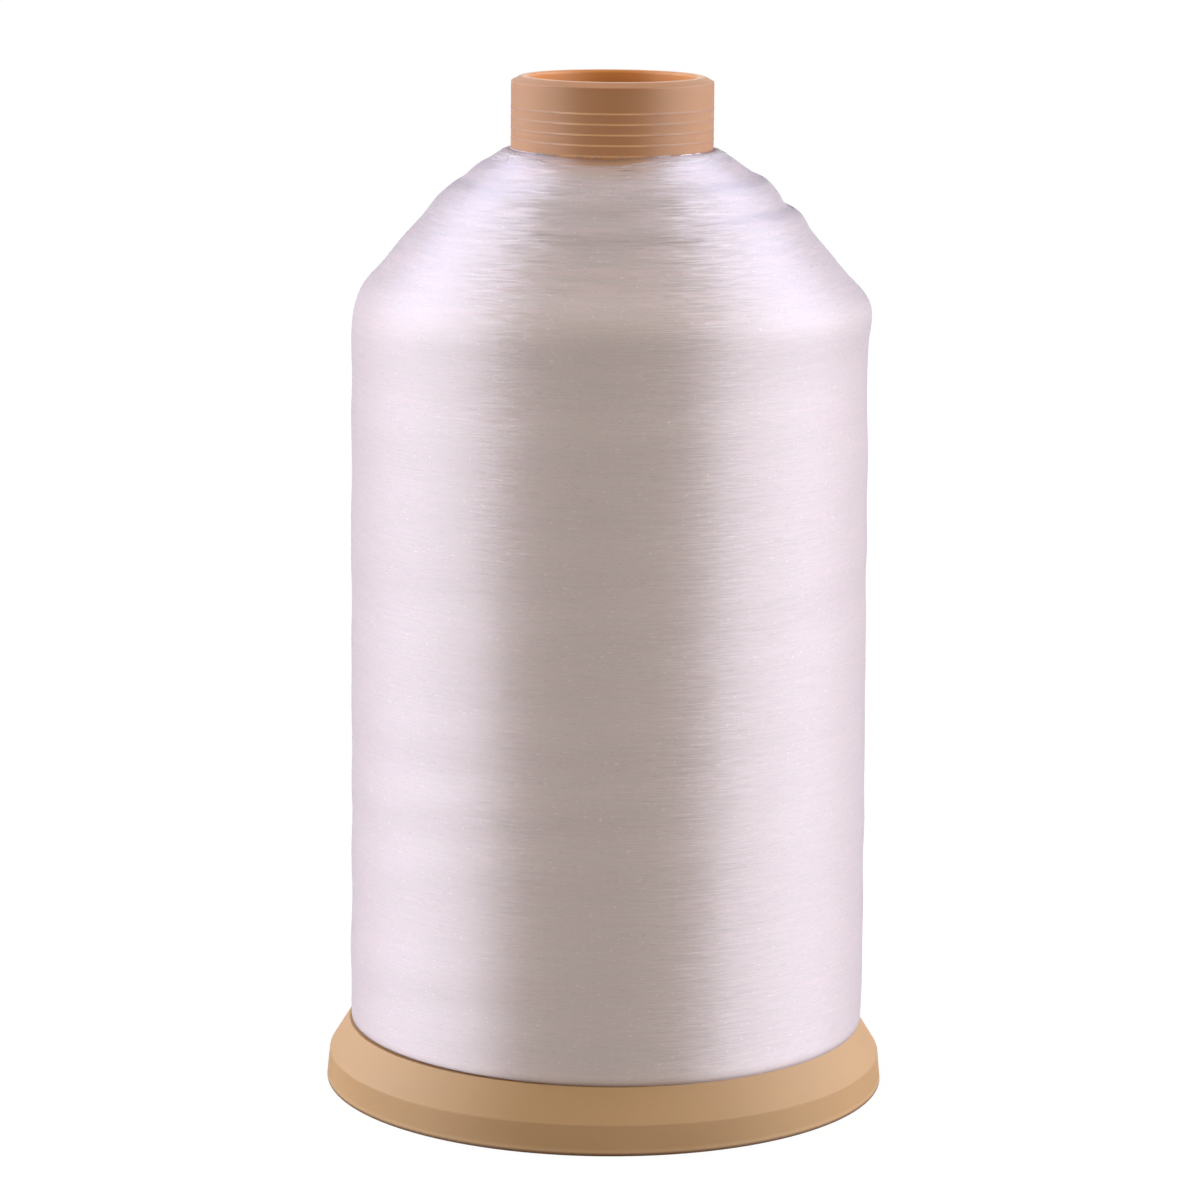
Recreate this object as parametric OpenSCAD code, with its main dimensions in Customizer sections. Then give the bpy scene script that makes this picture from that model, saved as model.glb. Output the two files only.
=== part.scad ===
// Line spool: a moulded tube snapped into a flared base, wound with clear monofilament line.
// The line is drawn off over the neck while the spool stands on its base.
// Millimetres. +Z is up, and the origin is the centre of the base's foot.

/* [Base] */
// Diameter of the base at its foot
base_foot_d = 150; // [148:1:166]
// Diameter of the base at the ridge, where the skirt meets the crown
base_ridge_d = 148.4; // [144:0.2:160]
// Height of the skirt, from the foot to the ridge
skirt_h = 8; // [6:0.5:14]
// Height of the sloped crown, from the ridge to the seat of the line
crown_h = 8.6; // [6:0.2:14]
// Wall of the base moulding
base_wall = 2.4; // [1.6:0.1:3]
// Radius that softens the ridge
ridge_round = 1.4; // [0.4:0.1:2]
// Radius on both edges of the foot
foot_edge_round = 0.5; // [0.2:0.1:0.7]
// Ribs under the base
rib_count = 8; // [4:1:12]
// Thickness of each rib
rib_t = 1.8; // [1.2:0.1:3]
// Height of the ribs and the hub above the floor
rib_lift = 1.5; // [0.5:0.1:3]

/* [Tube] */
// Height of the whole spool
spool_h = 270; // [220:1:340]
// Outer diameter of the neck
neck_d = 53.1; // [51:0.1:60]
// Outer diameter of the barrel where it stands on the base
barrel_foot_d = 62; // [60:0.5:72]
// Wall of the barrel
tube_wall = 2.6; // [1.8:0.1:3]
// Bore for the winding spindle, in the neck and in the base's hub
bore_d = 43.5; // [38:0.1:45]
// Drop from the crest of the neck's rim to its outer edge
rim_drop = 1.3; // [0.5:0.1:1.8]
// Radius on the crest of the rim
rim_round = 1.5; // [0.4:0.1:2]
// Radius on the outer edge of the rim
rim_edge_round = 0.3; // [0.1:0.1:0.6]
// Lead-in at the mouth of each bore
mouth_round = 0.8; // [0.3:0.1:1.2]

/* [Retaining rings on the neck] */
// Number of rings
ring_count = 4; // [2:1:4]
// Depth of the first ring below the rim
ring_start = 7.9; // [3:0.1:10]
// Spacing of the rings
ring_pitch = 2.7; // [1.5:0.1:3]
// Height of a ring above the neck, at its lower edge
ring_rise = 0.1; // [0.05:0.05:0.4]
// Width of a ring
ring_w = 0.5; // [0.3:0.05:0.8]

/* [Joint between tube and base] */
// Height of the spigot inside the tube
spigot_h = 14; // [10:0.5:20]
// Wall of the hub that carries the lower bore
hub_wall = 2.2; // [1.6:0.1:2.6]
// Clearance between the spigot and the tube
joint_gap = 0.1; // [0.05:0.01:0.2]
// Height of the snap bead above the spigot
bead_rise = 0.6; // [0.3:0.05:0.9]
// Width of the snap bead
bead_w = 2; // [1.4:0.1:3]
// Depth of the snap bead below the top of the spigot
bead_depth = 5; // [3:0.5:7]
// Keys that stop the tube turning on the base
key_count = 4; // [2:1:6]
// Width of a key
key_w = 5; // [3:0.5:8]
// Height of a key above the seat
key_h = 4; // [2:0.5:6]
// Distance of a key's outer face inside the barrel's surface
key_inset = 0.5; // [0.2:0.1:1]

/* [Wound line] */
// Diameter of the wound line at its foot
line_foot_d = 137.8; // [120:0.2:141]
// Diameter of the wound line at the top of its wall
line_top_d = 136.2; // [118:0.2:141]
// Length of neck that stands clear of the line
neck_clear = 18.8; // [17:0.2:24]
// Height of the shoulder, from the top of the wall to the neck
shoulder_h = 39; // [30:1:60]
// Diameter at which the shoulder eases towards the neck
cap_d = 81; // [70:1:100]
// Height of the eased cap at the top of the shoulder
cap_h = 7.6; // [6:0.2:18]
// Width of the level crest of line beside the neck
crest_w = 2.5; // [1:0.1:6]
// Radius between the wall and the shoulder
shoulder_round = 22; // [8:1:26]
// Radius between the shoulder and its cap
cap_round = 8; // [2:1:20]
// Radius between the cap and its crest
crest_round = 3; // [0.5:0.5:8]
// Radius at the foot of the line
foot_round = 1.2; // [0.5:0.1:3]
// Length of neck that the line covers
neck_cover = 3; // [1:0.5:8]
// Clearance between the wound line and the tube
line_gap = 0.1; // [0.05:0.01:0.2]

/* [Outer lay of line] */
// Diameter of the line
line_d = 0.3; // [0.2:0.05:0.8]
// Turns of the outermost lay
lay_turns = 24; // [6:1:24]
// Length of the shoulder that the lay leaves free under the neck
lay_top_margin = 4; // [2:0.5:12]
// Length of the wall that the lay leaves free above the base
lay_foot_margin = 5; // [4:0.5:20]
// Clearance between the outer lay and the line under it
lay_gap = 0.05; // [0.03:0.01:0.1]

/* [Hidden] */

$fn = 96;
arc_steps = 8; // flats on each rounded corner
rings_per_turn = 24; // rings on one turn of the outer lay
lay_sides = 6; // sides of the outer lay's section
past = 1; // a cut runs this far past the face it opens

bore_r = bore_d / 2;
neck_r = neck_d / 2;
barrel_foot_r = barrel_foot_d / 2;
socket_r = barrel_foot_r - tube_wall;
spigot_r = socket_r - joint_gap;

base_h = skirt_h + crown_h;
spigot_top = base_h + spigot_h;
socket_top = spigot_top + joint_gap;
bead_z = spigot_top - bead_depth;
line_top_z = spool_h - neck_clear;
neck_foot_z = line_top_z - neck_cover;

base_foot = [base_foot_d / 2, 0];
base_ridge = [base_ridge_d / 2, skirt_h];
base_seat = [line_foot_d / 2, base_h];
seat_centre = [0, base_h];

function unit(v) = v / norm(v);
function turned(v, a) = [v.x * cos(a) - v.y * sin(a), v.x * sin(a) + v.y * cos(a)];

// The corner p between a and b, rounded to the radius r
function round_corner(a, p, b, r) =
    r <= 0 ? [p] :
    let (u = unit(a - p), v = unit(b - p),
         half = acos(u * v) / 2,
         centre = p + unit(u + v) * r / sin(half),
         start = p + u * r / tan(half) - centre,
         sweep = sign(cross(v, u)) * (180 - 2 * half))
    [for (i = [0 : arc_steps]) centre + turned(start, sweep * i / arc_steps)];

// A closed outline of [x, y, corner radius] points, with its corners rounded
function rounded(outline) =
    let (n = len(outline), p = [for (q = outline) [q.x, q.y]])
    [for (i = [0 : n - 1]) each round_corner(p[(i + n - 1) % n], p[i], p[(i + 1) % n], outline[i].z)];

// The corner p between a and b, moved by w to the right of the way from a to b
function inset(a, p, b, w) =
    let (u = unit(p - a), v = unit(b - p), m = [u.y, -u.x], n = [v.y, -v.x])
    p + (m + n) * w / (1 + m * n);

// The section of a bead on a wall of radius r: w wide, with a crest a third as wide that stands
// rise above the wall, and rooted root deep in it
function bead(r, z, w, rise, root) = [
    [r - root, z - w / 2],
    [r, z - w / 2],
    [r + rise, z - w / 6],
    [r + rise, z + w / 6],
    [r, z + w / 2],
    [r - root, z + w / 2],
];

// The base's outer line from its foot up to the bore, moved inwards by w
function base_line(w, foot_z) =
    let (ridge = inset(base_seat, base_ridge, base_foot, w),
         seat = inset(seat_centre, base_seat, base_ridge, w))
    [[base_foot.x - w, foot_z], ridge, seat, [bore_r, base_h - w]];

module base_shell() {
    outer = base_line(0, 0);
    inner = base_line(base_wall, 0);
    corner = [foot_edge_round, ridge_round, 0, 0];
    inner_corner = [foot_edge_round, 0, 0, 0];
    rotate_extrude()
        polygon(rounded([
            for (i = [0 : 3]) [outer[i].x, outer[i].y, corner[i]],
            for (i = [3 : -1 : 0]) [inner[i].x, inner[i].y, inner_corner[i]],
        ]));
}

module base_ribs() {
    intersection() {
        rotate_extrude()
            polygon([[0, rib_lift], each base_line(base_wall / 2, rib_lift), [0, base_h - base_wall / 2]]);
        for (i = [0 : rib_count - 1])
            rotate((i + 0.5) * 360 / rib_count)
                translate([bore_r + hub_wall / 2, -rib_t / 2, 0])
                    cube([base_foot.x, rib_t, base_h]);
    }
}

module hub() {
    rotate_extrude()
        polygon([
            [bore_r + mouth_round, rib_lift],
            [bore_r + hub_wall, rib_lift],
            [bore_r + hub_wall, spigot_top],
            [bore_r, spigot_top],
            [bore_r, rib_lift + mouth_round],
        ]);
}

module spigot() {
    inner_r = spigot_r - base_wall;
    root_z = base_h - base_wall / 2;
    rotate_extrude() {
        polygon([
            [inner_r, root_z],
            [spigot_r, root_z],
            [spigot_r, spigot_top - bead_rise],
            [spigot_r - bead_rise, spigot_top],
            [inner_r, spigot_top],
        ]);
        polygon(bead(spigot_r, bead_z, bead_w, bead_rise, base_wall / 2));
    }
}

// Blocks round the spigot, from the radius r1 to r2, each side grown by gap
module key_blocks(r1, r2, gap, root_z) {
    for (i = [0 : key_count - 1])
        rotate(i * 360 / key_count)
            translate([r1, -key_w / 2 - gap, root_z])
                cube([r2 - r1, key_w + 2 * gap, base_h + key_h + gap - root_z]);
}

module base_flange() {
    color([0.85, 0.73, 0.54])
        union() {
            base_shell();
            base_ribs();
            hub();
            spigot();
            key_blocks(spigot_r - base_wall / 2, barrel_foot_r - key_inset, 0, base_h - base_wall / 2);
        }
}

// The barrel's outer radius at the height z
function barrel_r(z) = barrel_foot_r + (neck_r - barrel_foot_r) * (z - base_h) / (neck_foot_z - base_h);

module tube_body() {
    inner_top_r = neck_r - tube_wall;
    rotate_extrude()
        polygon(rounded([
            [socket_r, base_h, 0],
            [barrel_foot_r, base_h, 0],
            [neck_r, neck_foot_z, 0],
            [neck_r, spool_h - rim_drop, rim_edge_round],
            [(neck_r + bore_r) / 2, spool_h, rim_round],
            [bore_r, spool_h, mouth_round],
            [bore_r, neck_foot_z, 0],
            [inner_top_r, neck_foot_z - (inner_top_r - bore_r), 0],
            [barrel_r(socket_top) - tube_wall, socket_top, 0],
            [socket_r, socket_top, 0],
        ]));
}

// Barbs round the neck: each is flat below, against the line, and slopes back to the neck above
module retaining_rings() {
    root_r = neck_r - tube_wall / 2;
    for (i = [0 : ring_count - 1])
        translate([0, 0, spool_h - ring_start - i * ring_pitch])
            rotate_extrude()
                polygon([
                    [root_r, -ring_w / 2],
                    [neck_r + ring_rise, -ring_w / 2],
                    [neck_r, ring_w / 2],
                    [root_r, ring_w / 2],
                ]);
}

// The groove in the tube's socket that the snap bead drops into
module snap_groove() {
    rotate_extrude()
        polygon(bead(socket_r, bead_z, bead_w + 2 * joint_gap, bead_rise, past));
}

module core_tube() {
    color([0.9, 0.7, 0.5])
        difference() {
            union() {
                tube_body();
                retaining_rings();
            }
            snap_groove();
            key_blocks(socket_r - past, barrel_foot_r + past, joint_gap, base_h - past);
        }
}

// The wound line's half section: crest, cap, shoulder, wall, foot and the barrel inside it
line_outline = rounded([
    [neck_r + line_gap, line_top_z, 0],
    [neck_r + line_gap + crest_w, line_top_z, crest_round],
    [cap_d / 2, line_top_z - cap_h, cap_round],
    [line_top_d / 2, line_top_z - shoulder_h, shoulder_round],
    [line_foot_d / 2, base_h, foot_round],
    [barrel_foot_r + line_gap, base_h, 0],
    [neck_r + line_gap, neck_foot_z, 0],
]);

module line_package() {
    color([0.93, 0.9, 0.95])
        rotate_extrude()
            polygon(line_outline);
}

// The side of the wound line: its outline's points from the neck to the end of the foot's rounding,
// and the way from the neck to each of them
side_last = 4 * (arc_steps + 1);
function side_way(i) = i == 0 ? 0 : side_way(i - 1) + norm(line_outline[i] - line_outline[i - 1]);
side_r = [for (i = [0 : side_last]) [side_way(i), line_outline[i].x]];
side_z = [for (i = [0 : side_last]) [side_way(i), line_outline[i].y]];

function side_point(s) = [lookup(s, side_r), lookup(s, side_z)];
function side_normal(s) = let (d = unit(side_point(s + line_d) - side_point(s - line_d))) [-d.y, d.x];

// Ring i of the outer lay: its centre, far enough out for the chords between rings to clear the
// line under them, and the direction away from that line
lay_rings = lay_turns * rings_per_turn;
lay_stand = line_d / 2 + lay_gap;
lay_way = side_way(side_last) - lay_top_margin - lay_foot_margin;
function lay_s(i) = lay_top_margin + lay_way * i / lay_rings;
function lay_angle(i) = 360 * i / rings_per_turn;
function lay_centre(i) =
    let (q = side_point(lay_s(i)) + side_normal(lay_s(i)) * lay_stand,
         r = q.x / cos(180 / rings_per_turn))
    [r * cos(lay_angle(i)), r * sin(lay_angle(i)), q.y];
function lay_out(i) =
    let (n = side_normal(lay_s(i)))
    [n.x * cos(lay_angle(i)), n.x * sin(lay_angle(i)), n.y];

lay_path = [for (i = [0 : lay_rings]) lay_centre(i)];

function lay_ring(i) =
    let (ahead = unit(lay_path[min(i + 1, lay_rings)] - lay_path[max(i - 1, 0)]),
         side = unit(cross(ahead, lay_out(i))),
         out = cross(side, ahead))
    [for (k = [0 : lay_sides - 1])
        lay_path[i] + (out * cos(360 * k / lay_sides) + side * sin(360 * k / lay_sides)) * line_d / 2];

// One unbroken line, wound down over the shoulder and the wall
module line_outer_lay() {
    points = [for (i = [0 : lay_rings]) each lay_ring(i)];
    walls = [
        for (i = [0 : lay_rings - 1], k = [0 : lay_sides - 1])
        let (a = i * lay_sides + k, b = i * lay_sides + (k + 1) % lay_sides)
        each [[a, b, b + lay_sides], [a, b + lay_sides, a + lay_sides]]
    ];
    last = lay_rings * lay_sides;
    ends = [
        for (k = [1 : lay_sides - 2])
        each [[0, k + 1, k], [last, last + k, last + k + 1]]
    ];
    color([0.97, 0.95, 0.98])
        polyhedron(points, concat(walls, ends));
}

least_gap = min([
    for (i = [0 : lay_rings - rings_per_turn],
         j = [i + rings_per_turn / 2 : min(i + rings_per_turn * 3 / 2, lay_rings)])
    norm(lay_path[i] - lay_path[j]) - line_d
]);
echo(least_gap_in_outer_lay_mm = least_gap);

base_flange();
core_tube();
line_package();
line_outer_lay();
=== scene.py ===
import math

import bpy
import numpy as np
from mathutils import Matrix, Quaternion, Vector


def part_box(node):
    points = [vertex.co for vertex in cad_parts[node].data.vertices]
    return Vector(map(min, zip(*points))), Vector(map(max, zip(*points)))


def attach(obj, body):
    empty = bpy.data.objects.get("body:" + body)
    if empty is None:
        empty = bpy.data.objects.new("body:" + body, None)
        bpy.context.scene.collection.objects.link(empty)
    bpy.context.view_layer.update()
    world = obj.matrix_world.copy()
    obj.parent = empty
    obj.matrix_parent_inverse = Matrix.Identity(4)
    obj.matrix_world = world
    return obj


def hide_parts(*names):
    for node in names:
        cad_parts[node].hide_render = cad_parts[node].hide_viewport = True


# Dresses a wound line spool: strands of clear line, moulded plastic, studio and camera.
# Metres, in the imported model's own frame: +Z up, origin at the middle of the base's foot.

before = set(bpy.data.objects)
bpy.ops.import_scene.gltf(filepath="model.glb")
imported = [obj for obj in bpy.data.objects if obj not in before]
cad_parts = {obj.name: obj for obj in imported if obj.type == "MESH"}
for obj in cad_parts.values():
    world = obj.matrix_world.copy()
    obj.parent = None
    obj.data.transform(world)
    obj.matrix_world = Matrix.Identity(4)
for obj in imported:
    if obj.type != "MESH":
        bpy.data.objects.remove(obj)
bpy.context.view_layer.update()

lineLow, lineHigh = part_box("line_package")
print("frame: line from", round(lineLow.z, 4), "to", round(lineHigh.z, 4))


# A mesh from points and quads, both whole arrays, and a few loose faces such as end caps
def addMesh(name, points, quads, caps):
    mesh = bpy.data.meshes.new(name)
    mesh.from_pydata(points.tolist(), [], quads.tolist() + caps)
    mesh.shade_smooth()
    piece = bpy.data.objects.new(name, mesh)
    bpy.context.scene.collection.objects.link(piece)
    return piece


mapGap = 0.02         # part of a row that stays empty beside the next one in a piece's map


# A closed tube of rings, each an array of points, that also closes on itself from the last ring to the
# first. Its map has one row of squares for each ring
def addTubeMesh(name, rings):
    rows, n = rings.shape[:2]
    i, j = np.meshgrid(np.arange(rows), np.arange(n), indexing="ij")
    i2, j2 = (i + 1) % rows, (j + 1) % n
    quads = np.stack([i * n + j, i2 * n + j, i2 * n + j2, i * n + j2], -1).reshape(-1, 4)
    piece = addMesh(name, rings.reshape(-1, 3), quads, [])
    u, v = j / n, i / rows
    u2, v2 = (j + 1) / n, (i + 1 - mapGap) / rows
    layer = piece.data.uv_layers.new(name="OFBake")
    layer.uv.foreach_set("vector", np.stack([u, v, u, v2, u2, v2, u2, v], -1).astype(np.float32).ravel())
    return piece


# A new material with its nodes, links and main shader
def newMaterial(name):
    made = bpy.data.materials.new(name)
    made.use_nodes = True
    nodes = made.node_tree.nodes
    return made, nodes, made.node_tree.links, nodes["Principled BSDF"]


def setSockets(shader, values):
    for socket, value in values.items():
        shader.inputs[socket].default_value = value


# An object-space noise, stretched by scale along x, y and z
def stretchedNoise(nodes, links, stretch, scale, detail, roughness=0.55):
    place = nodes.new("ShaderNodeTexCoord")
    mapping = nodes.new("ShaderNodeMapping")
    mapping.inputs["Scale"].default_value = stretch
    noise = nodes.new("ShaderNodeTexNoise")
    setSockets(noise, {"Scale": scale, "Detail": detail, "Roughness": roughness})
    links.new(place.outputs["Object"], mapping.inputs["Vector"])
    links.new(mapping.outputs["Vector"], noise.inputs["Vector"])
    return noise.outputs["Fac"]


# One sum; each of its two terms is a number or another node's output
def mathNode(nodes, links, operation, first, second):
    node = nodes.new("ShaderNodeMath")
    node.operation = operation
    for socket, value in zip(node.inputs, (first, second)):
        if isinstance(value, (int, float)):
            socket.default_value = value
        else:
            links.new(value, socket)
    return node.outputs[0]


# Distance from the spool's axis, and the direction away from it
def axisNodes(nodes, links):
    place = nodes.new("ShaderNodeTexCoord")
    flat = nodes.new("ShaderNodeVectorMath")
    flat.operation = "MULTIPLY"
    flat.inputs[1].default_value = (1, 1, 0)
    radius = nodes.new("ShaderNodeVectorMath")
    radius.operation = "LENGTH"
    away = nodes.new("ShaderNodeVectorMath")
    away.operation = "NORMALIZE"
    links.new(place.outputs["Object"], flat.inputs[0])
    links.new(flat.outputs[0], radius.inputs[0])
    links.new(flat.outputs[0], away.inputs[0])
    return place.outputs["Object"], radius.outputs["Value"], away.outputs[0]


def mapRange(nodes, links, value, low, high, toLow, toHigh):
    node = nodes.new("ShaderNodeMapRange")
    setSockets(node, {"From Min": low, "From Max": high, "To Min": toLow, "To Max": toHigh})
    links.new(value, node.inputs["Value"])
    return node.outputs["Result"]


def mixColour(nodes, links, factor, first, second):
    node = nodes.new("ShaderNodeMix")
    node.data_type = "RGBA"
    node.inputs["A"].default_value = (*first, 1)
    node.inputs["B"].default_value = (*second, 1)
    links.new(factor, node.inputs["Factor"])
    return node.outputs["Result"]


# The same mix, into a colour that another node gives
def mixInto(nodes, links, factor, first, second):
    result = mixColour(nodes, links, factor, (1, 1, 1), second)
    links.new(first, result.node.inputs["A"])
    return result


def scaleColour(nodes, links, colour, level):
    node = nodes.new("ShaderNodeVectorMath")
    node.operation = "SCALE"
    links.new(colour, node.inputs[0])
    links.new(level, node.inputs["Scale"])
    return node.outputs[0]


def addBump(nodes, links, height, distance, strength, under=None):
    node = nodes.new("ShaderNodeBump")
    setSockets(node, {"Strength": strength, "Distance": distance})
    links.new(height, node.inputs["Height"])
    if under is not None:
        links.new(under, node.inputs["Normal"])
    return node.outputs["Normal"]


cameraSet = {
    "back": 1.1930,       # from the spool's axis
    "height": 0.3567,     # above the foot
    "side": -0.00210,     # left of the axis
    "pitch": 10.724,      # degrees down
    "roll": 0.52,         # degrees, so that the spool's top leans right
    "lens": 136.64,       # mm on a 36 mm sensor
}


def addCamera(s):
    data = bpy.data.cameras.new("camera")
    data.lens = s["lens"]
    data.sensor_width = 36
    camera = bpy.data.objects.new("camera", data)
    bpy.context.scene.collection.objects.link(camera)
    camera.rotation_mode = "QUATERNION"
    camera.location = (s["side"], -s["back"], s["height"])
    aim = Vector((0, math.cos(math.radians(s["pitch"])), -math.sin(math.radians(s["pitch"]))))
    camera.rotation_quaternion = (aim.to_track_quat("-Z", "Y")
                                  @ Quaternion((0, 0, 1), math.radians(s["roll"])))
    bpy.context.scene.camera = camera


addCamera(cameraSet)


# The wound body's side, as a run of straight stretches whose corners are arcs: down the neck, out over
# the crest of line beside it, down the shoulder and the wall, and in under the foot
lineForm = {
    "neckRadius": 0.02672,                      # loops that climb the neck
    "climb": 0.0002,                            # how far they climb above the line's top
    "settle": 0.0003,                           # how far the crest lies below the line's top
    "crestRadius": 0.0283,                      # outer end of the level crest
    "capRadius": 0.0405, "capDrop": 0.0076,     # where the shoulder steepens, and how far below the top
    "wallRadius": 0.0681, "wallDrop": 0.0390,   # top of the wall
    "arcs": [0.0005, 0.003, 0.008, 0.022, 0.0009],   # radii at the corners, from the crest to the foot
    "arcPoints": 17,
    "footTurn": 0.0016,                         # width of the strip that turns in under the foot
    "step": 0.0003,                             # spacing of the points that the side is worked out at
    "barrelRadius": 0.0311,                     # the tube's outside, which the line is wound on
}


# Each corner is cut back by arc * tan(turn / 2) and bridged by a circle through both cuts
def arcedRun(corners, arcs, arcPoints, step):
    run = [corners[0]]
    for i in range(1, len(corners) - 1):
        a, p, b = corners[i - 1], corners[i], corners[i + 1]
        u, v = (a - p) / np.linalg.norm(a - p), (b - p) / np.linalg.norm(b - p)
        half = math.acos(float(u @ v)) / 2
        cut = arcs[i - 1] / math.tan(half)
        centre = p + (u + v) / np.linalg.norm(u + v) * arcs[i - 1] / math.sin(half)
        t = np.linspace(0, 1, arcPoints)[:, None]
        chord = (p + u * cut) * (1 - t) + (p + v * cut) * t - centre
        run.extend(centre + chord / np.linalg.norm(chord, axis=1)[:, None] * arcs[i - 1])
    run.append(corners[-1])
    run = np.array(run)
    way = np.r_[0, np.cumsum(np.linalg.norm(np.diff(run, axis=0), axis=1))]
    even = np.arange(0, way[-1], step)
    return even, np.interp(even, way, run[:, 0]), np.interp(even, way, run[:, 1])


# The side's corners from the neck down to the foot, rounded
def lineSide(f):
    top, foot = lineHigh.z, lineLow.z
    crest = top - f["settle"]
    corners = np.array([
        [f["neckRadius"], crest + f["climb"]],
        [f["neckRadius"], crest],
        [f["crestRadius"], crest],
        [f["capRadius"], top - f["capDrop"]],
        [f["wallRadius"], top - f["wallDrop"]],
        [lineHigh.x, foot],
        [lineHigh.x - f["footTurn"], foot],
    ])
    return arcedRun(corners, f["arcs"], f["arcPoints"], f["step"])


sideWay, sideRadius, sideHeight = lineSide(lineForm)
sideLength = sideWay[-1]
print("line: side", round(sideLength, 4), "m long")

# Uneven layers: each swell is a band round the body that stands out by rise at the height given,
# strongest at the angle given, in degrees from +X, and gone by spread on the far side
lineSwells = [
    {"height": 0.2440, "rise": -0.0009, "width": 0.0020, "angle": 180, "spread": 1.0},
    {"height": 0.2485, "rise": -0.0003, "width": 0.0016, "angle": 180, "spread": 1.0},
    {"height": 0.2375, "rise": 0.0004, "width": 0.0025, "angle": 180, "spread": 1.0},
    {"height": 0.2200, "rise": -0.0005, "width": 0.0050, "angle": 180, "spread": 1.0},
    {"height": 0.2455, "rise": -0.0006, "width": 0.0020, "angle": 0, "spread": 1.0},
    {"height": 0.2375, "rise": -0.0006, "width": 0.0016, "angle": 0, "spread": 1.0},
    {"height": 0.2335, "rise": 0.0009, "width": 0.0024, "angle": 0, "spread": 1.0},
    {"height": 0.2180, "rise": -0.0004, "width": 0.0050, "angle": 0, "spread": 1.0},
    {"height": 0.2108, "rise": 0.0012, "width": 0.0054, "angle": 0, "spread": 0.8},
    {"height": 0.1910, "rise": -0.0004, "width": 0.0070, "angle": 0, "spread": 1.0},
    {"height": 0.0500, "rise": 0.0007, "width": 0.0800, "angle": 0, "spread": 1.0},
    {"height": 0.0500, "rise": -0.0005, "width": 0.0800, "angle": 180, "spread": 1.0},
]
lineWander = {
    "rise": 0.0001 / 3, "waves": 14, "seed": 3,
    "rounds": 4, "along": (60, 420),            # fewer than this many round the body, and radians per metre
    "phase": 6.28,                              # where each wave starts, at most
    "even": 0.002, "grow": 0.004,               # the crest stays even, and the unevenness grows in after it
}
# The crest sags where the winding has slipped down beside the neck: by depth at the angle given, by half of
# it at "half" degrees to either side, from its inner edge out to where it fades
crestSag = {
    "depth": 0.0022, "angle": -103, "half": 30, "power": 4,
    "edge": 0.0008, "reach": 0.0045, "fade": 1.5,
}


# How far the wound body stands out at a way along its side and an angle round it: the swells, each a
# smooth hump across its band, a slow wander made of a few waves in both directions, and the crest's sag
def lineOut(way, angle):
    height = np.interp(way, sideWay, sideHeight)
    out = np.zeros(np.broadcast(way, angle).shape)
    for s in lineSwells:
        share = 1 - s["spread"] * (1 - np.cos(angle - math.radians(s["angle"]))) / 2
        out = out + s["rise"] * share * np.exp(-((height - s["height"]) / s["width"]) ** 2)
    w = lineWander
    rng = np.random.default_rng(w["seed"])
    for _ in range(w["waves"]):
        rounds, along = rng.integers(0, w["rounds"]), rng.uniform(*w["along"])
        out = out + w["rise"] * np.sin(rounds * angle + along * way + rng.uniform(0, w["phase"]))
    out = out * np.clip((way - w["even"]) / w["grow"], 0, 1)
    c = crestSag
    apart = np.degrees(np.arccos(np.cos(angle - math.radians(c["angle"]))))
    across = np.clip((way - lineForm["climb"]) / c["edge"], 0, 1)
    across = across * np.clip(c["fade"] - way / c["reach"], 0, 1)
    return out - c["depth"] * across / (1 + (apart / c["half"]) ** c["power"])


# The side's own normal, square to its run
sideOutRadius = -np.gradient(sideHeight, sideWay)
sideOutHeight = np.gradient(sideRadius, sideWay)


# A point on the body, moved out along the side's own normal
def linePoint(way, angle, out):
    r = np.interp(way, sideWay, sideRadius) + out * np.interp(way, sideWay, sideOutRadius)
    z = np.interp(way, sideWay, sideHeight) + out * np.interp(way, sideWay, sideOutHeight)
    return np.stack([r * np.cos(angle), r * np.sin(angle), z], -1)


coreSet = {
    "rounds": 300, "rows": 220,
    "under": 0.00006,     # how far its surface lies under the body's
    "start": 0.0003,      # how far out from the neck its surface starts
    "groove": 0.003,      # depth of its inner edge beside the neck
}


# The body under the strands: a grid of angle by way along the side, closed inside along the barrel
def makeLineCore(s):
    angle = np.linspace(0, 2 * math.pi, s["rounds"], endpoint=False)
    way = np.linspace(lineForm["climb"] + s["start"], sideLength, s["rows"])
    w, a = np.meshgrid(way, angle, indexing="ij")
    outer = linePoint(w, a, lineOut(w, a) - s["under"])
    spokes = np.stack([np.cos(angle), np.sin(angle)], -1)
    foot = np.c_[spokes * lineForm["barrelRadius"], np.full(s["rounds"], lineLow.z)]
    groove = np.c_[spokes * lineForm["neckRadius"], np.full(s["rounds"], lineHigh.z - s["groove"])]
    rings = np.concatenate([outer, foot[None], groove[None]])
    return addTubeMesh("lineCore", rings)


strandSet = {
    "pieces": 8,          # meshes that share the strands
    "passes": 8,          # runs up or down the body in one mesh
    "turns": 24.125,      # turns of one pass: passes of one direction lie a quarter of a turn apart
    "rings": 112,         # rings on one turn
    "wide": 0.00032, "tall": 0.00006,
    "rounded": 0.12,      # how far the faces of its lower edges turn to either side
    "sunk": 0.00002,      # its middle, under the body's surface
    "float": 0.00002, "floatSpan": 3,          # how far it rises and dips, and over how many rings
    "sway": 0.00011, "swaySpan": 15,           # how far it strays along the side, and over how many rings
    "ease": 0.012,        # part of a pass that the turn at its end takes
    "topShort": 0.0042, "footShort": 0.0022,   # the most that a pass falls short at its ends
    "topPower": 1.5,      # over 1: most passes fall short by less than half of that at the top
    "footLeast": 0.2,     # share of it that every pass falls short by at the foot
    "starts": 4,          # starts of one mesh's passes round a turn, which the other meshes fill up
    "seed": 11,
}


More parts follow.
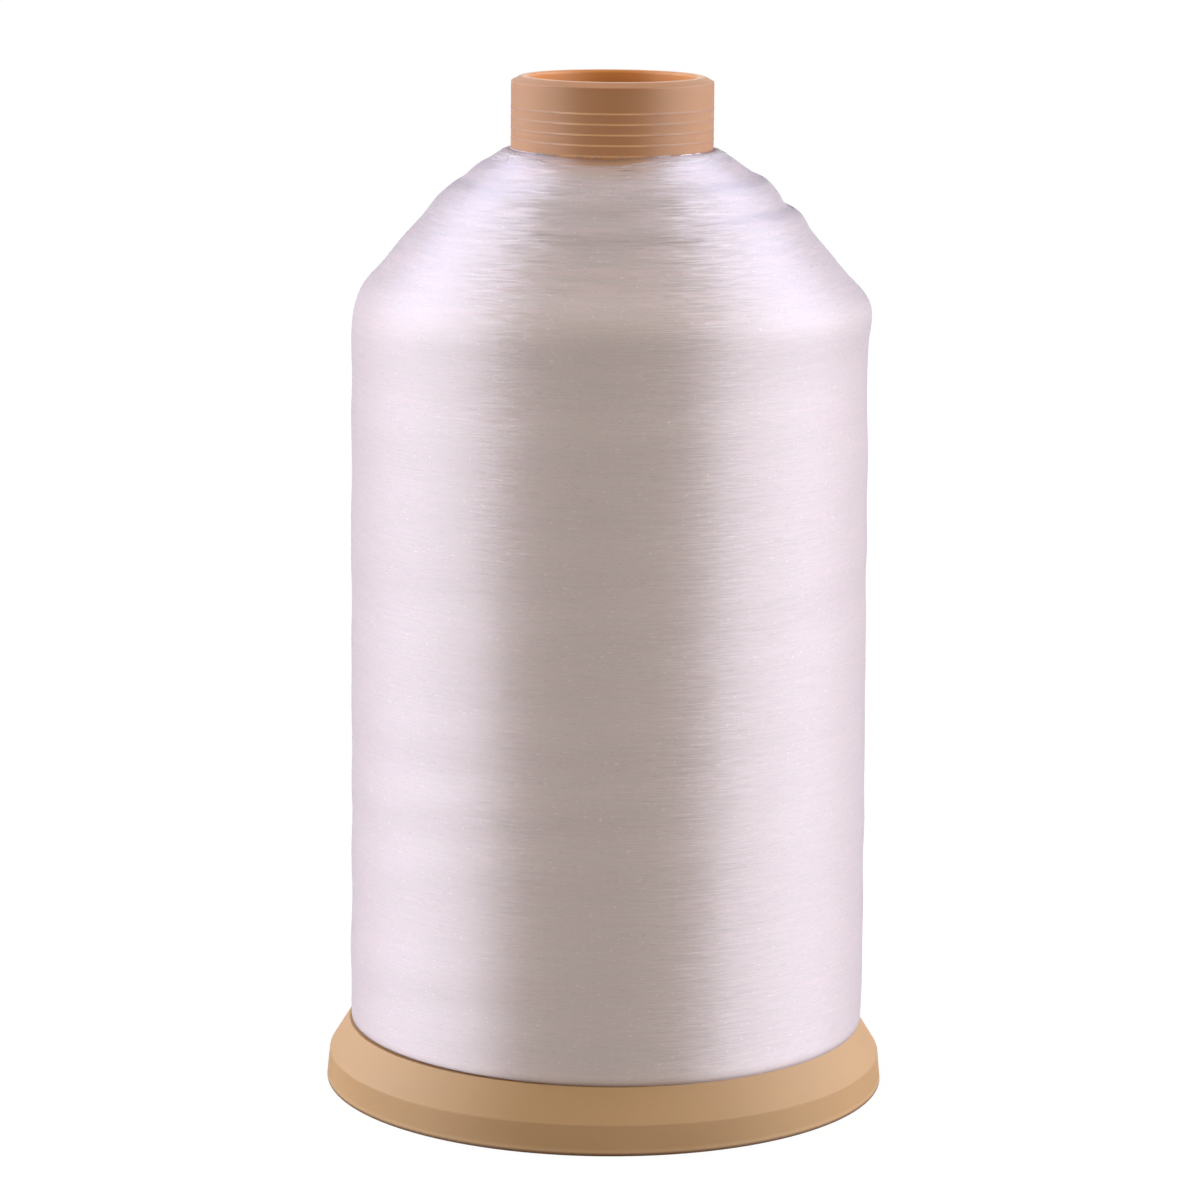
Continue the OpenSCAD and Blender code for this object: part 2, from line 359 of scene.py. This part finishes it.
# Random numbers, smoothed over a run of neighbours, brought back to a spread of about 1 and kept within
# a limit on both sides
def smoothNoise(rng, count, span, limit=2.2):
    kernel = np.hanning(span + 2)[1:-1]
    noise = np.convolve(rng.normal(0, 1, count + span), kernel / np.sqrt((kernel ** 2).sum()), "same")
    return np.clip(noise[:count], -limit, limit)


# One strand's way along the side and its angle. The way is a triangle wave of its turns, rounded
# where it reverses, and each reversal falls short of the end by chance: at the top mostly by little
def strandRun(s, index, rng):
    count = int(s["passes"] * s["turns"] * s["rings"]) + 1
    turn = np.arange(count) / s["rings"]
    swing = turn / s["turns"]
    share = np.abs((swing + 1) % 2 - 1)
    share = np.sqrt(share ** 2 + s["ease"] ** 2)
    share = 1 - np.sqrt((1 - share) ** 2 + s["ease"] ** 2)
    topShort = rng.uniform(0, 1, s["passes"] + 2) ** s["topPower"] * s["topShort"]
    footShort = rng.uniform(s["footLeast"], 1, s["passes"] + 2) * s["footShort"]
    top = topShort[((swing + 1) // 2).astype(int)]
    foot = sideLength - lineForm["footTurn"] - footShort[(swing // 2).astype(int)]
    sway = s["sway"] * smoothNoise(rng, count, s["swaySpan"])
    way = np.clip(top + (foot - top) * share + sway, 0, sideLength)
    angle = 2 * math.pi * (turn + index / (s["starts"] * s["pieces"]))
    return way, angle


# The direction that the body faces: square to a short step along the side and a short step round it
def bodyFacing(way, angle, step=0.0002, turn=0.003):
    down = linePoint(way + step, angle, lineOut(way + step, angle))
    down -= linePoint(way - step, angle, lineOut(way - step, angle))
    along = linePoint(way, angle + turn, lineOut(way, angle + turn))
    along -= linePoint(way, angle - turn, lineOut(way, angle - turn))
    facing = np.cross(down, along)
    return facing / np.linalg.norm(facing, axis=1)[:, None]


# A three-sided section carried along the strand, its ridge outwards and its flat side inwards. Its frame
# is the strand's own direction and the side's outward direction there. It is shaded as the body faces,
# and a little rounded across
def makeStrand(name, s, way, angle, out):
    middle = linePoint(way, angle, out)
    ahead = np.gradient(middle, axis=0)
    ahead /= np.linalg.norm(ahead, axis=1)[:, None]
    outward = linePoint(way, angle, out + s["wide"]) - middle
    across = np.cross(ahead, outward)
    across /= np.linalg.norm(across, axis=1)[:, None]
    outward = np.cross(across, ahead)
    section = np.array([[0.5, 0], [-0.5, 0.5], [-0.5, -0.5]]) * [s["tall"], s["wide"]]
    points = middle[:, None] + outward[:, None] * section[:, :1] + across[:, None] * section[:, 1:]
    i = np.arange(len(middle) - 1)[:, None] * 3
    k = np.arange(3)[None]
    sides = np.stack([i + k, i + (k + 1) % 3, i + 3 + (k + 1) % 3, i + 3 + k], -1).reshape(-1, 4)
    last = len(points) * 3 - 3
    piece = addMesh(name, points.reshape(-1, 3), sides, [[2, 1, 0], [last, last + 1, last + 2]])
    smooth = np.r_[np.tile([True, False, True], len(sides) // 3), False, False]
    piece.data.polygons.foreach_set("use_smooth", smooth)
    lean = np.array([0, s["rounded"], -s["rounded"]])[:, None]
    facing = bodyFacing(way, angle)[:, None] + across[:, None] * lean
    piece.data.normals_split_custom_set_from_vertices(facing.reshape(-1, 3))
    addStrandMap(piece, len(middle) - 1, s["rings"])
    return piece


# The strand's own map: one row for each turn, with its three sides side by side in that row
def addStrandMap(piece, count, turnRings):
    rows = math.ceil(count / turnRings)
    i = np.arange(count)[:, None]
    u = (i % turnRings) / turnRings + np.zeros(3)
    v = (i // turnRings + np.arange(3) / 3 + mapGap) / rows
    u2, v2 = u + 1 / turnRings, v + (1 / 3 - 2 * mapGap) / rows
    corners = np.stack([u, v, u, v2, u2, v2, u2, v], -1)
    layer = piece.data.uv_layers.new(name="OFBake")
    layer.uv.foreach_set("vector", np.r_[corners.ravel(), np.zeros(12)].astype(np.float32))


neckLoops = {
    "turns": 13, "rings": 260, "seed": 5, "wide": 0.00022, "tall": 0.00010, "rounded": 0.4,
    "lift": 0.00004, "dive": 3,               # height over the body, and the dips as a multiple of it
    "dipSpan": 19, "rise": 0.3,               # rings that a dip takes, and the most that they rise instead
    "middle": 0.0026, "reach": 0.0042,        # where their way along the side lies, and how far it wanders
    "inner": 0.0004, "outer": 0.0062,         # the bounds of that way
    "waves": (4.31, 7.67),                    # waves on one turn
    "shares": (0.6, 0.4),                     # how much each of them counts
    "swell": (0.5, 0.35), "drift": 0.4,       # their strength, how far it varies, and the slow drift
}


# Loose loops round the neck's foot: their way wanders between the neck and the crest in two short waves,
# which swell and fade by chance
def makeNeckLoops(s):
    rng = np.random.default_rng(s["seed"])
    count = s["turns"] * s["rings"]
    turn = np.arange(count) / s["rings"]
    angle = 2 * math.pi * turn
    (slow, quick), (slowShare, quickShare) = s["waves"], s["shares"]
    wave = np.sin(slow * angle + 1) * slowShare + np.sin(quick * angle) * quickShare
    swell = s["swell"][0] + s["swell"][1] * smoothNoise(rng, count, s["rings"] // 2)
    drift = smoothNoise(rng, count, 2 * s["rings"]) * s["drift"]
    way = np.abs(s["middle"] + (wave * swell + drift) * s["reach"])
    way = np.clip(way, s["inner"], s["outer"])
    dips = np.minimum(smoothNoise(rng, count, s["dipSpan"]), s["rise"])
    out = lineOut(way, angle) + s["lift"] * (1 + s["dive"] * dips)
    return makeStrand("neckLoops", s, way, angle, out)


# Each marking of the line has its length and height in metres, the run of its noise that counts and what
# that run is turned into
lineNylon = {
    # the shoulder's colour is the wall's made darker and cooler: painted shade on the upward-facing shoulder
    "wall": (0.893, 0.726, 0.632), "shoulder": (0.736, 0.605, 0.547),
    "shoulderFrom": (0.205, 0.235),                    # heights between which the wall's colour gives way to the shoulder's painted shade
    "roughness": 0.52, "roughnessBy": (-0.02, 0.03), "roughnessRun": (0.3, 0.7),
    "spread": 0.95, "spreadTurn": 0.25, "ior": 2.3, "tint": (0.725, 0.716, 0.884),
    "skin": (0.900, 0.914, 0.968), "skinIor": 1.05, "skinRoughness": 0.9,   # clear outer layer of the strands
    # streaks along the winding, painted flecks of shade, and painted glints where short pieces of line lie
    # across the rest
    "streak": (0.010, 0.0004), "streakRun": (0.3, 0.6), "streakLevel": (0.96, 1.015),
    "fleck": (0.0018, 0.00024), "fleckRun": (0.57, 0.72), "fleckLevel": (1, 0.89),
    "glint": (0.0010, 0.00045), "glintRun": (0.74, 0.82), "glintLevel": (1, 1.25),
    "blush": (0.016, 0.0013), "blushRun": (0.45, 0.62), "blushShare": (0, 0.35),
    "blushColour": (0.98, 0.735, 0.68),
    # how far the strands' faces turn to either side by chance, on the wall and on the shoulder
    "lean": (0.007, 0.0004), "leanRun": (0.3, 0.7), "leanBy": (0.045, 0.10),
    # how far from the neck the tube shows through, and how much of it: beside the crest, and where it sags
    "tubeReach": (0.0026, 0.0095), "tubeShare": (0.60, 0.90),
    "sagRun": (0.62, 0.94),                      # cosines of the angles that the sag fades in between
    "baseReach": 0.0026, "baseShare": 0.5,       # the same for the base, at the foot
    "tube": (0.72, 0.37, 0.16), "base": (0.62, 0.42, 0.25),
}


# Noise drawn out along the winding: as long as size[0] round the body and as high as size[1]
def windingNoise(nodes, links, size, detail):
    long, high = size
    return stretchedNoise(nodes, links, (1 / long, 1 / long, 1 / high), 1, detail)


# How far a direction turns towards an angle round the spool: the cosine of the angle between them
def towardsAngle(nodes, links, away, degrees):
    node = nodes.new("ShaderNodeVectorMath")
    node.operation = "DOT_PRODUCT"
    turn = math.radians(degrees)
    node.inputs[1].default_value = (math.cos(turn), math.sin(turn), 0)
    links.new(away, node.inputs[0])
    return node.outputs["Value"]


# The surface's facing, turned to either side along the winding: facing + level * (up x away), made one long
def leantFacing(nodes, links, away, level):
    along, turned, facing = [nodes.new("ShaderNodeVectorMath") for _ in range(3)]
    along.operation, turned.operation, facing.operation = "CROSS_PRODUCT", "ADD", "NORMALIZE"
    along.inputs[0].default_value = (0, 0, 1)
    links.new(away, along.inputs[1])
    links.new(nodes.new("ShaderNodeNewGeometry").outputs["Normal"], turned.inputs[0])
    links.new(scaleColour(nodes, links, along.outputs[0], level), turned.inputs[1])
    links.new(turned.outputs[0], facing.inputs[0])
    return facing.outputs[0]


# Clear nylon, wound: pale, finely streaked along the winding, lilac in its gloss, and warmer where the
# tube or the base shows through the first loops. Painted light: painted shade on the shoulder, painted
# flecks of shade and painted glints
def makeNylon(name, s):
    made, nodes, links, shader = newMaterial(name)
    place, radius, away = axisNodes(nodes, links)
    split = nodes.new("ShaderNodeSeparateXYZ")
    links.new(place, split.inputs[0])
    height = split.outputs["Z"]

    # painted shade: the shoulder takes a darker copy of the wall's colour
    upward = mapRange(nodes, links, height, *s["shoulderFrom"], 0, 1)
    colour = mixColour(nodes, links, upward, s["wall"], s["shoulder"])
    blush = windingNoise(nodes, links, s["blush"], 2)
    blushed = mapRange(nodes, links, blush, *s["blushRun"], *s["blushShare"])
    colour = mixInto(nodes, links, blushed, colour, s["blushColour"])
    streak = windingNoise(nodes, links, s["streak"], 2)
    # painted flecks of shade and painted glints
    fleck = windingNoise(nodes, links, s["fleck"], 1)
    glint = windingNoise(nodes, links, s["glint"], 0)
    for mark, noise in ("streak", streak), ("fleck", fleck), ("glint", glint):
        level = mapRange(nodes, links, noise, *s[mark + "Run"], *s[mark + "Level"])
        colour = scaleColour(nodes, links, colour, level)

    sagWay = towardsAngle(nodes, links, away, crestSag["angle"])
    sagged = mapRange(nodes, links, sagWay, *s["sagRun"], 0, 1)
    reach = mapRange(nodes, links, sagged, 0, 1, *s["tubeReach"])
    fromNeck = mathNode(nodes, links, "SUBTRACT", radius, lineForm["neckRadius"])
    depth = mathNode(nodes, links, "DIVIDE", fromNeck, reach)
    nearTube = mathNode(nodes, links, "MULTIPLY", mapRange(nodes, links, depth, 0, 1, 1, 0),
                        mapRange(nodes, links, sagged, 0, 1, *s["tubeShare"]))
    colour = mixInto(nodes, links, nearTube, colour, s["tube"])
    foot = lineLow.z
    nearBase = mapRange(nodes, links, height, foot, foot + s["baseReach"], s["baseShare"], 0)
    links.new(mixInto(nodes, links, nearBase, colour, s["base"]), shader.inputs["Base Color"])

    low, high = s["roughnessBy"]
    links.new(mapRange(nodes, links, streak, *s["roughnessRun"], s["roughness"] + low, s["roughness"] + high),
              shader.inputs["Roughness"])
    lean = mapRange(nodes, links, windingNoise(nodes, links, s["lean"], 2), *s["leanRun"], -1, 1)
    leanBy = mathNode(nodes, links, "MULTIPLY", lean,
                      mapRange(nodes, links, height, *s["shoulderFrom"], *s["leanBy"]))
    links.new(leantFacing(nodes, links, away, leanBy), shader.inputs["Normal"])
    setSockets(shader, {"IOR": s["ior"], "Specular IOR Level": 1.0, "Specular Tint": (*s["tint"], 1),
                        "Anisotropic": s["spread"], "Anisotropic Rotation": s["spreadTurn"],
                        "Coat Weight": 1.0, "Coat IOR": s["skinIor"], "Coat Roughness": s["skinRoughness"],
                        "Coat Tint": (*s["skin"], 1)})
    return made


# The loops lie loose, so they have the line's own clear colour and a tighter gloss
looseLine = dict(lineNylon, wall=(0.88, 0.79, 0.73), shoulder=(0.88, 0.79, 0.73), tubeShare=(0.0, 0.1),
                 tint=(1, 0.97, 1), roughness=0.4, spread=0.4)
nylon = makeNylon("lineNylon", lineNylon)
looseNylon = makeNylon("looseNylon", looseLine)


def addLinePiece(piece, material, *replaced):
    piece.data.materials.append(material)
    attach(piece, "root")
    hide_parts(*replaced)


addLinePiece(makeLineCore(coreSet), nylon, "line_package")
for index in range(strandSet["pieces"]):
    rng = np.random.default_rng(strandSet["seed"] + index)
    way, angle = strandRun(strandSet, index, rng)
    lift = strandSet["float"] * smoothNoise(rng, len(way), strandSet["floatSpan"])
    out = lineOut(way, angle) - strandSet["sunk"] + lift
    piece = makeStrand("lineStrands%d" % (index + 1), strandSet, way, angle, out)
    addLinePiece(piece, nylon, "line_outer_lay")
addLinePiece(makeNeckLoops(neckLoops), looseNylon, "line_outer_lay")
print("line: core,", strandSet["pieces"], "strand meshes and the neck's loops")


tubePlastic = {
    "colour": (0.43, 0.196, 0.088), "pale": (0.47, 0.217, 0.101),
    # painted bounce light: a brighter, warmer colour in the bore stands in for light bounced inside it
    "bore": (0.0222, 0.0226), "boreBounceColour": (0.60, 0.235, 0.062),      # radii between which it gives way
    "firstRing": 0.26205, "ringPitch": 0.0027, "ringsFrom": -0.3,      # the rings' place, counted down
    "band": (0.05, 0.13),                                              # half width of a band, as a share
    # painted highlight on the rings' front side, towards -95 degrees, and painted shade on the rings
    # elsewhere
    "ringHighlight": (0.66, 0.36, 0.17), "ringHighlightAngle": -95, "ringHighlightWidth": (0.85, 0.965),
    "ringShade": (0.345, 0.150, 0.070), "ringShadeShare": 0.9,                   # painted shade on the rings away from their front side
    "roughness": 0.38, "gloss": 0.55, "sheen": 0.3, "sheenTint": (1.0, 0.80, 0.64),
    "subsurface": 0.10, "radius": (0.004, 0.002, 0.001),
}
basePlastic = {
    "colour": (0.46, 0.271, 0.131), "pale": (0.50, 0.298, 0.152),
    # painted shadow as a dark line at the very foot, and a painted highlight as a pale line just above it
    "footShadow": (0.15, 0.075, 0.035), "footShadowHeight": (0.0006, 0.0011), "footShadowShare": 0.9,   # at the very foot
    "edgeHighlight": (0.62, 0.42, 0.25), "edgeHighlightHeight": (0.0013, 0.0022), "edgeHighlightShare": 0.35,
    "roughness": 0.48, "gloss": 0.36, "sheen": 0.02, "sheenTint": (1.0, 0.90, 0.75),
    "subsurface": 0.10, "radius": (0.004, 0.0025, 0.0015),
}
# What both mouldings share: their noises as stretch, scale, detail and roughness, and their fine relief in
# metres and strength
moulding = {
    "cloud": ((1, 1, 1.6), 26, 3, 0.5), "cloudRun": (0.3, 0.7), "roughnessBy": (-0.04, 0.06),
    "turning": ((1, 1, 90), 9, 3, 0.6), "turningDepth": (0.00012, 0.35),
    "grain": ((1, 1, 1), 900, 2, 0.5), "grainDepth": (0.00005, 0.25),
    "sheenRoughness": 0.35,
}


# The tube's colour with painted light: painted bounce light in the bore, painted shade on the rings, and a
# painted highlight on their front side
def shadeTube(nodes, links, s, colour):
    place, radius, away = axisNodes(nodes, links)
    # painted bounce light in the bore
    bounceLit = mixInto(nodes, links, mapRange(nodes, links, radius, *s["bore"], 1, 0), colour, s["boreBounceColour"])
    split = nodes.new("ShaderNodeSeparateXYZ")
    links.new(place, split.inputs[0])
    below = mathNode(nodes, links, "SUBTRACT", s["firstRing"], split.outputs["Z"])
    rings = mathNode(nodes, links, "DIVIDE", below, s["ringPitch"])
    nearest = mathNode(nodes, links, "ROUND", rings, 0)
    apart = mathNode(nodes, links, "ABSOLUTE", mathNode(nodes, links, "SUBTRACT", rings, nearest), 0)
    onRing = mathNode(nodes, links, "MULTIPLY", mapRange(nodes, links, apart, *s["band"], 1, 0),
                      mathNode(nodes, links, "GREATER_THAN", rings, s["ringsFrom"]))
    # painted highlight on the rings' front side
    front = towardsAngle(nodes, links, away, s["ringHighlightAngle"])
    ringHighlight = mapRange(nodes, links, front, *s["ringHighlightWidth"], 0, 1)
    # painted shade on the rings
    ringShadeShare = mathNode(nodes, links, "MULTIPLY", onRing, s["ringShadeShare"])
    ringShaded = mixInto(nodes, links, ringShadeShare, bounceLit, s["ringShade"])
    return mixInto(nodes, links, mathNode(nodes, links, "MULTIPLY", onRing, ringHighlight), ringShaded, s["ringHighlight"])


# The base's colour with painted light: a painted shadow line where it stands, and a painted highlight along
# the edge just above
def shadeBase(nodes, links, s, colour):
    split = nodes.new("ShaderNodeSeparateXYZ")
    links.new(nodes.new("ShaderNodeTexCoord").outputs["Object"], split.inputs[0])
    height = split.outputs["Z"]
    # painted highlight along the foot's edge
    edgeLit = mapRange(nodes, links, height, *s["edgeHighlightHeight"], s["edgeHighlightShare"], 0)
    edgeHighlighted = mixInto(nodes, links, edgeLit, colour, s["edgeHighlight"])
    # painted shadow where the base stands
    footShadowed = mapRange(nodes, links, height, *s["footShadowHeight"], s["footShadowShare"], 0)
    return mixInto(nodes, links, footShadowed, edgeHighlighted, s["footShadow"])


# Moulded plastic: a slight cloudiness in its colour, fine turning marks round the axis and a fine grain
def makePlastic(name, s, shade):
    made, nodes, links, shader = newMaterial(name)
    m = moulding
    cloud = stretchedNoise(nodes, links, *m["cloud"])
    cloudShare = mapRange(nodes, links, cloud, *m["cloudRun"], 0, 1)
    clouded = mixColour(nodes, links, cloudShare, s["colour"], s["pale"])
    links.new(shade(nodes, links, s, clouded), shader.inputs["Base Color"])
    grain = stretchedNoise(nodes, links, *m["grain"])
    turning = stretchedNoise(nodes, links, *m["turning"])
    marks = addBump(nodes, links, turning, *m["turningDepth"])
    links.new(addBump(nodes, links, grain, *m["grainDepth"], marks), shader.inputs["Normal"])
    low, high = m["roughnessBy"]
    links.new(mapRange(nodes, links, cloud, *m["cloudRun"], s["roughness"] + low, s["roughness"] + high),
              shader.inputs["Roughness"])
    setSockets(shader, {"Subsurface Weight": s["subsurface"], "Subsurface Radius": s["radius"],
                        "Subsurface Scale": 1.0, "Specular IOR Level": s["gloss"],
                        "Sheen Weight": s["sheen"], "Sheen Roughness": m["sheenRoughness"],
                        "Sheen Tint": (*s["sheenTint"], 1)})
    return made


def dressNode(node, material):
    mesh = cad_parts[node].data
    mesh.materials.clear()
    mesh.materials.append(material)


dressNode("core_tube", makePlastic("tubePlastic", tubePlastic, shadeTube))
dressNode("base_flange", makePlastic("basePlastic", basePlastic, shadeBase))
print("plastic: tube and base dressed")


studio = {
    "floorSize": 24.0, "floorGrey": 0.16, "floorRoughness": 0.15, "floorGloss": 0.5,
    "floorGlow": 0.6, "glowStrength": 1.58,   # how far the camera sees the floor lit, and how bright
    "panels": 6.15, "fill": 0.02,
    "overhead": 0.02, "overheadFrom": (0.45, 0.95),
    "backdrop": 0.5, "backdropFrom": 0.93,    # white seen in the gloss, right behind the spool
    "turn": 2.5,                              # degrees that the dark front lies left of the camera
    # brightness of the walls from straight ahead of the camera's side (0) round to behind the spool (1)
    "round": [(0, 0.0), (0.07, 0.01), (0.125, 0.09), (0.185, 0.58), (0.26, 0.98), (0.4, 0.94), (0.58, 0.77),
              (0.7, 0.56), (0.88, 0.22), (1, 0.04)],
    # and from the floor (0) up to overhead (1)
    "up": [(0, 1.0), (0.28, 1.0), (0.55, 0.5), (0.75, 0.18), (0.9, 0.0)],
    # a second pair of panels, high up behind both sides
    "high": 2.2,
    "highRound": [(0, 0), (0.5, 0), (0.62, 1), (0.82, 1), (0.95, 0.3), (1, 0.2)],
    "highUp": [(0, 0), (0.3, 0), (0.5, 1), (0.72, 1), (0.9, 0)],
    # colour of the light from beside and from behind, and where the one gives way to the other
    "warm": (1.0, 0.99, 0.95), "cool": (0.92, 0.94, 1.0), "coolFrom": (0.42, 0.8),
}


# Which rays see the white room: the camera's, and those that pass through glass or clear plastic
def seenWhite(nodes, links):
    path = nodes.new("ShaderNodeLightPath").outputs
    return mathNode(nodes, links, "MAXIMUM", path["Is Camera Ray"], path["Is Transmission Ray"])


# Level floor: polished grey to the light, and to the camera so far lit that only the shadow stays on it
def addFloor(s):
    half = s["floorSize"] / 2
    corners = np.array([(-half, -half, 0), (half, -half, 0), (half, half, 0), (-half, half, 0)])
    floor = addMesh("floor", corners, np.array([[0, 1, 2, 3]]), [])
    made, nodes, links, shader = newMaterial("floor")
    setSockets(shader, {"Base Color": (s["floorGrey"],) * 3 + (1,), "Roughness": s["floorRoughness"]})
    seen = seenWhite(nodes, links)
    links.new(mapRange(nodes, links, seen, 0, 1, s["floorGloss"], 0), shader.inputs["Specular IOR Level"])
    glow = nodes.new("ShaderNodeEmission")
    setSockets(glow, {"Color": (1, 1, 1, 1), "Strength": s["glowStrength"]})
    mix = nodes.new("ShaderNodeMixShader")
    links.new(mathNode(nodes, links, "MULTIPLY", seen, s["floorGlow"]), mix.inputs["Fac"])
    links.new(shader.outputs[0], mix.inputs[1])
    links.new(glow.outputs[0], mix.inputs[2])
    links.new(mix.outputs[0], nodes["Material Output"].inputs["Surface"])
    floor.data.materials.append(made)


# Brightness along a run of stops, given as pairs of place and level
def levelRamp(nodes, links, value, stops):
    ramp = nodes.new("ShaderNodeValToRGB")
    ramp.color_ramp.interpolation = "EASE"
    while len(ramp.color_ramp.elements) < len(stops):
        ramp.color_ramp.elements.new(0.5)
    for element, (place, level) in zip(ramp.color_ramp.elements, stops):
        element.position = place
        element.color = (level, level, level, 1)
    links.new(value, ramp.inputs["Fac"])
    return ramp.outputs["Color"]


# The room: soft lit panels at both sides of the spool, a white backdrop, and a dim front
def addRoom(s):
    world = bpy.data.worlds.new("room")
    bpy.context.scene.world = world
    world.use_nodes = True
    nodes, links = world.node_tree.nodes, world.node_tree.links

    # around: 0 in front of the spool to 1 behind it; height: the sine of a ray's angle over the floor
    place = nodes.new("ShaderNodeTexCoord").outputs["Generated"]
    split = nodes.new("ShaderNodeSeparateXYZ")
    level, ahead = nodes.new("ShaderNodeVectorMath"), nodes.new("ShaderNodeVectorMath")
    level.operation, ahead.operation = "MULTIPLY", "NORMALIZE"
    level.inputs[1].default_value = (1, 1, 0)
    links.new(place, split.inputs[0])
    links.new(place, level.inputs[0])
    links.new(level.outputs[0], ahead.inputs[0])
    height = split.outputs["Z"]
    behind = towardsAngle(nodes, links, ahead.outputs[0], 90 - s["turn"])
    around = mapRange(nodes, links, behind, -1, 1, 0, 1)

    light = mapRange(nodes, links, height, *s["overheadFrom"], 0, s["overhead"])
    light = mathNode(nodes, links, "ADD", light, s["fill"])
    for panels, roundStops, upStops in ("panels", "round", "up"), ("high", "highRound", "highUp"):
        pair = mathNode(nodes, links, "MULTIPLY", levelRamp(nodes, links, around, s[roundStops]),
                        levelRamp(nodes, links, height, s[upStops]))
        light = mathNode(nodes, links, "ADD", light, mathNode(nodes, links, "MULTIPLY", pair, s[panels]))
    lit = nodes["Background"]
    links.new(light, lit.inputs["Strength"])
    cooled = mapRange(nodes, links, around, *s["coolFrom"], 0, 1)
    links.new(mixColour(nodes, links, cooled, s["warm"], s["cool"]), lit.inputs["Color"])

    white = nodes.new("ShaderNodeBackground")
    setSockets(white, {"Color": (1, 1, 1, 1), "Strength": 1.0})
    backdrop = mathNode(nodes, links, "MULTIPLY",
                        mathNode(nodes, links, "GREATER_THAN", around, s["backdropFrom"]), s["backdrop"])
    glossy = nodes.new("ShaderNodeLightPath").outputs["Is Glossy Ray"]
    mirrored = mathNode(nodes, links, "MULTIPLY", glossy, backdrop)
    mix = nodes.new("ShaderNodeMixShader")
    links.new(mathNode(nodes, links, "MAXIMUM", seenWhite(nodes, links), mirrored), mix.inputs["Fac"])
    links.new(lit.outputs[0], mix.inputs[1])
    links.new(white.outputs[0], mix.inputs[2])
    links.new(mix.outputs[0], nodes["World Output"].inputs["Surface"])


addFloor(studio)
addRoom(studio)
bpy.context.scene.view_settings.view_transform = "Standard"
print("studio: floor and lit room")
